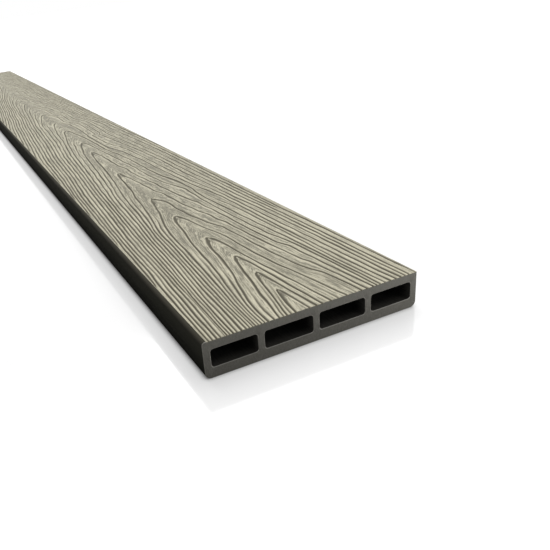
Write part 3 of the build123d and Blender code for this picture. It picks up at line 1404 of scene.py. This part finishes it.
@dataclass(frozen=True)
class GrainFinish:
    """The pressed face: pale brushed crowns and dark olive grooves.

    A share is how far the shade between the dark and the light crown colour moves with a value.
    """

    crown_light: Colour = (0.735, 0.69, 0.52)
    crown_dark: Colour = (0.19, 0.177, 0.126)
    groove: Colour = (0.084, 0.076, 0.051)
    roughness: float = 0.62
    groove_roughness: float = 0.2
    sheen: float = 0.35
    bump_strength: float = 0.5
    bump_height: float = 0.12 * MM
    flour_scale: float = 900.0
    flour_height: float = 0.4
    fibre_scale: Triple = (7.0, 45.0, 60.0)
    fine_scale: Triple = (3.1, 2.6, 5.0)
    patch_scale: Triple = (110.0, 18.0, 1.0)
    middle_range: tuple[float, float] = (0.04, 0.75)
    right_rim: Ramp = (0.0705, 0.0725, 0.0, 2.2)
    left_rim: Ramp = (-0.0725, -0.0700, 1.7, 0.0)
    # Painted shade: the face darkens from about 0.1 to 0.26 m behind the front end onwards, where light
    # falls off along the board.
    painted_far_shade: tuple[float, float] = (-0.80, -0.64)
    crown_shade: float = 0.93
    tone_share: float = 0.12
    middle_share: float = -0.64
    # Weight of the painted highlight and shade beside the lines.
    painted_side_light_share: float = 0.12
    rims_and_far_shade_share: float = -0.14
    patch_share: float = 0.8
    streak_share: float = 3.1
    middle_streak_share: float = 1.8
    fleck_share: float = 0.25
    ragged_share: float = 0.5
    groove_range: tuple[float, float] = (-0.28, 0.66)

    def build(self, effects: Effects) -> bpy.types.Material:
        """Build the material.

        Args:
            effects: The shared effects.

        Returns:
            The material.
        """
        material, graph, shader = start_finish("grain_face")
        x, y, _ = graph.axes()
        lines = graph.add("ShaderNodeCombineXYZ")
        graph.feed_all(lines, {"X": graph.carried("ring"), "Y": y, "Z": x})
        along = graph.stretched(lines.outputs[0], self.fibre_scale)
        coarse = graph.noise(along, 1.0, 3.0, 0.62)
        fine = graph.noise(graph.stretched(along, self.fine_scale), 1.0, 2.0, 0.6)
        fibre = graph.math("ADD", graph.about_nought(fine), coarse)
        flour = use_effect(graph, effects.flour, Scale=self.flour_scale)
        patches = graph.noise(graph.stretched(graph.place(), self.patch_scale), 1.0, 2.0)
        middle = graph.ramp(graph.carried("breadth"), *self.middle_range)
        rims = graph.math("ADD", graph.ramp(x, *self.left_rim), graph.ramp(x, *self.right_rim))
        # Darker at both rims of the face, and painted shade further back along the board.
        darker_rims_and_painted_far_shade = graph.math("ADD", rims, graph.ramp(y, *self.painted_far_shade))
        streaks = graph.total(self.streak_share, (middle, self.middle_streak_share))
        shade = graph.total(self.crown_shade,
                            (graph.carried("tone"), self.tone_share),
                            (middle, self.middle_share),
                            # Painted highlight and painted shade on either side of the lines left of the
                            # spine.
                            (graph.carried("slope_and_painted_side_light"), self.painted_side_light_share),
                            (darker_rims_and_painted_far_shade, self.rims_and_far_shade_share),
                            (graph.about_nought(patches), self.patch_share),
                            (graph.about_nought(fibre), streaks),
                            (graph.about_nought(flour.outputs["Flecks"]), self.fleck_share), clamp=True)
        crown = graph.blend(shade, self.crown_dark, self.crown_light)
        ragged = graph.total(graph.carried("groove"), (graph.about_nought(fibre), self.ragged_share))
        sunk = graph.ramp(ragged, *self.groove_range)
        height = graph.total(fibre, (flour.outputs["Height"], self.flour_height))
        graph.feed_all(shader, {
            "Base Color": graph.blend(sunk, crown, self.groove),
            "Roughness": graph.total(self.roughness, (sunk, self.groove_roughness)),
            "Specular IOR Level": self.sheen,
            "Normal": graph.bump(height, self.bump_strength, self.bump_height)})
        return material


@dataclass(frozen=True)
class SkinFinish:
    """Smooth extruded charcoal skin with faint die lines, lighter towards one end of an axis, which on most
    surfaces is painted light and shade.
    """

    name: str
    light: Colour
    dark: Colour
    roughness: float
    sheen: float
    low: float
    high: float
    along: str = "Z"
    line_scale: float = 1400.0
    line_share: float = 0.5
    line_roughness: float = 0.12
    flour_scale: float = 1100.0
    flour_share: float = 0.15
    flour_height: float = 0.5
    bump_strength: float = 0.35
    bump_height: float = 0.06 * MM

    def build(self, effects: Effects) -> bpy.types.Material:
        """Build the material.

        Args:
            effects: The shared effects.

        Returns:
            The material.
        """
        material, graph, shader = start_finish(self.name)
        # Lighter towards the high end of the axis. On the flank, the back and the cell walls this is
        # painted shade, and on the broken edge a painted highlight.
        rise = graph.ramp(graph.math("ABSOLUTE", graph.axes()[self.along]), self.low, self.high)
        lines = use_effect(graph, effects.die, Fineness=self.line_scale).outputs["Lines"]
        flour = use_effect(graph, effects.flour, Scale=self.flour_scale)
        shade = graph.total(rise, (graph.about_nought(lines), self.line_share),
                            (flour.outputs["Flecks"], self.flour_share), clamp=True)
        height = graph.total(lines, (flour.outputs["Height"], self.flour_height))
        graph.feed_all(shader, {
            "Base Color": graph.blend(shade, self.dark, self.light),
            "Roughness": graph.total(self.roughness, (lines, self.line_roughness)),
            "Specular IOR Level": self.sheen,
            "Normal": graph.bump(height, self.bump_strength, self.bump_height)})
        return material


@dataclass(frozen=True)
class SawnFinish:
    """The sawn end: matt dark grey with fine upright strokes of the blade, and painted shade that darkens
    it near the back.
    """

    light: Colour = (0.120, 0.116, 0.102)
    dark: Colour = (0.062, 0.060, 0.052)
    roughness: float = 0.75
    sheen: float = 0.12
    # Painted shade: darker towards the bottom of the end.
    rise: Ramp = (0.0, 25 * MM, 0.2, 0.65)
    stroke_scale: Triple = (2600.0, 1.0, 260.0)
    stroke_share: float = 1.2
    flour_scale: float = 1500.0
    flour_share: float = 0.3
    flour_height: float = 0.6
    bump_strength: float = 0.5
    bump_height: float = 0.10 * MM

    def build(self, effects: Effects) -> bpy.types.Material:
        """Build the material.

        Args:
            effects: The shared effects.

        Returns:
            The material.
        """
        material, graph, shader = start_finish("sawn_end")
        strokes = graph.noise(graph.stretched(graph.place(), self.stroke_scale), 1.0, 2.0, 0.6)
        flour = use_effect(graph, effects.flour, Scale=self.flour_scale)
        # Painted shade, darker towards the bottom, under the blade strokes and flecks.
        shade = graph.total(graph.ramp(graph.axes()["Z"], *self.rise),
                            (graph.about_nought(strokes), self.stroke_share),
                            (flour.outputs["Flecks"], self.flour_share), clamp=True)
        height = graph.total(strokes, (flour.outputs["Height"], self.flour_height))
        graph.feed_all(shader, {
            "Base Color": graph.blend(shade, self.dark, self.light),
            "Roughness": self.roughness,
            "Specular IOR Level": self.sheen,
            "Normal": graph.bump(height, self.bump_strength, self.bump_height)})
        return material


@dataclass(frozen=True)
class Studio:
    """A white floor and soft light from above, with the camera low at the board's front end."""

    floor_size: float = 24.0
    floor_colour: Colour = (0.40, 0.40, 0.40)
    floor_roughness: float = 0.12
    floor_sheen: float = 0.75
    floor_glow: float = 0.52
    # Reach of the painted contact shadow round the board.
    painted_shadow_reach: float = 4 * MM
    painted_shadow_samples: int = 8
    white: Colour = (1.0, 1.0, 1.0)
    key_place: Triple = (1.0, 1.0, 3.0)
    key_direction: Triple = (-0.28, -0.52, -1.0)
    key_energy: float = 2.5
    key_angle: float = 58.0
    lamp_place: Triple = (0.26, -1.14, 0.035)
    lamp_target: Triple = (0.06, -0.9, 0.015)
    lamp_size: float = 0.05
    lamp_power: float = 0.95
    sky_light: float = 0.35
    eye: Triple = (-0.17478, -1.16622, 0.20358)
    yaw: float = 19.961
    pitch: float = 25.541
    roll: float = 7.525
    lens: float = 39.483
    side_shift: float = 0.16
    nearest: float = 0.01

    def build(self) -> None:
        """Set up the floor, the light and the camera."""
        self._lay_floor()
        self._hang_sun()
        self._hang_lamp()
        self._light_sky()
        self._aim_camera()

    def _lay_floor(self) -> None:
        """Lay the floor under the board."""
        nothing_selected()
        bpy.ops.mesh.primitive_plane_add(size=self.floor_size, location=(0.0, 0.0, 0.0))
        floor = bpy.context.object
        floor.name = "floor"
        material, graph, shader = start_finish("floor")
        sight = graph.add("ShaderNodeLightPath").outputs["Is Camera Ray"]
        # Painted contact shadow: the floor's glow dims where the board is within a few millimetres.
        painted_contact_shadow = graph.add("ShaderNodeAmbientOcclusion", samples=self.painted_shadow_samples)
        graph.feed(painted_contact_shadow.inputs["Distance"], self.painted_shadow_reach)
        glow_with_painted_shadow = graph.ramp(painted_contact_shadow.outputs["AO"], 0.0, 1.0, 0.0, self.floor_glow)
        graph.feed_all(shader, {
            "Base Color": self.floor_colour,
            "Roughness": self.floor_roughness,
            "Specular IOR Level": self.floor_sheen,
            "Emission Color": self.white,
            "Emission Strength": graph.math("MULTIPLY", glow_with_painted_shadow, sight)})
        floor.data.materials.append(material)

    def _hang_sun(self) -> None:
        """Hang the wide soft light over the board."""
        nothing_selected()
        bpy.ops.object.light_add(type="SUN", location=self.key_place)
        key = bpy.context.object
        key.name = "key_light"
        key.data.energy = self.key_energy
        key.data.angle = math.radians(self.key_angle)
        key.rotation_euler = Vector(self.key_direction).to_track_quat("-Z", "Y").to_euler()

    def _hang_lamp(self) -> None:
        """Hang a small square lamp low at the right, turned to the sawn end."""
        nothing_selected()
        bpy.ops.object.light_add(type="AREA", location=self.lamp_place)
        lamp = bpy.context.object
        lamp.name = "lamp_right"
        lamp.data.shape = "SQUARE"
        lamp.data.size = self.lamp_size
        lamp.data.energy = self.lamp_power
        aim = Vector(self.lamp_target) - Vector(self.lamp_place)
        lamp.rotation_euler = aim.to_track_quat("-Z", "Y").to_euler()

    def _light_sky(self) -> None:
        """Set the world: white to the camera and in reflections, and a weaker light."""
        world = bpy.context.scene.world or bpy.data.worlds.new("world")
        bpy.context.scene.world = world
        world.use_nodes = True
        world.node_tree.nodes.clear()
        graph = Graph(world.node_tree)
        sky = graph.add("ShaderNodeBackground")
        path = graph.add("ShaderNodeLightPath")
        seen = graph.math("MAXIMUM", path.outputs["Is Camera Ray"], path.outputs["Is Glossy Ray"])
        strength = graph.ramp(seen, 0.0, 1.0, self.sky_light, 1.0)
        graph.feed_all(sky, {"Color": self.white, "Strength": strength})
        output = graph.add("ShaderNodeOutputWorld")
        graph.feed(output.inputs["Surface"], sky.outputs["Background"])

    def _aim_camera(self) -> None:
        """Place the camera, turned and tilted as the view asks."""
        yaw, pitch, roll = (math.radians(turn) for turn in (self.yaw, self.pitch, self.roll))
        ahead = Vector((math.sin(yaw) * math.cos(pitch), math.cos(yaw) * math.cos(pitch), -math.sin(pitch)))
        level = Vector((math.cos(yaw), -math.sin(yaw), 0.0))
        down = ahead.cross(level)
        right = level * math.cos(roll) + down * math.sin(roll)
        up = level * math.sin(roll) - down * math.cos(roll)
        turn = Matrix((right, up, -ahead)).transposed().to_4x4()
        nothing_selected()
        bpy.ops.object.camera_add()
        camera = bpy.context.object
        camera.name = "camera"
        camera.matrix_world = Matrix.Translation(self.eye) @ turn
        camera.data.lens = self.lens
        camera.data.shift_x = self.side_shift
        camera.data.clip_start = self.nearest
        scene = bpy.context.scene
        scene.camera = camera
        scene.view_settings.view_transform = "Standard"


def dress(board: bpy.types.Object, section: Section) -> None:
    """Give the board its finishes, one for each surface.

    Args:
        board: The board.
        section: Its section.
    """
    effects = Effects()
    low, high = section.low.z, section.high.z
    skins = {
        Surface.ROUNDED_EDGE: ((0.040, 0.037, 0.027), (0.022, 0.020, 0.015), 0.75, 0.1,
                               high - section.face_corner, high),
        # Flank and back: painted shade, near black at the bottom and lighter towards the top.
        Surface.EXTRUDED_SKIN: ((0.027, 0.0265, 0.020), (0.003, 0.003, 0.0022), 0.75, 0.02, low, high),
        # Cell walls: painted shade, near black deep inside and lighter within about 10 mm of each sawn end.
        Surface.CELL_WALL: ((0.038, 0.0365, 0.032), (0.005, 0.0048, 0.004), 0.75, 0.1,
                            section.high.y - section.lit_mouth, section.high.y, "Y"),
        # Broken edge of the sawn ends: a painted highlight, pale and lighter towards the top.
        Surface.BROKEN_EDGE: ((0.26, 0.25, 0.225), (0.15, 0.145, 0.13), 0.6, 0.2, low, high),
    }
    finishes = {surface: SkinFinish(surface.name.lower(), *sizes) for surface, sizes in skins.items()}
    finishes |= {Surface.GRAIN_FACE: GrainFinish(), Surface.SAWN_END: SawnFinish()}
    for surface in Surface:
        board.data.materials.append(finishes[surface].build(effects))


def main() -> None:
    """Build the board, its finishes and the studio."""
    logging.basicConfig(level=logging.INFO, format="%(message)s")
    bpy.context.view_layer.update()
    low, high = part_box(NODE)
    section = Section(low, high)
    board = FenceBoard(section).build()
    dress(board, section)
    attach(board, BODY)
    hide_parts(NODE)
    log.info("board: %d faces", len(board.data.polygons))
    Studio().build()
    log.info("studio: floor, lamps and camera")


if __name__ == "__main__":
    main()
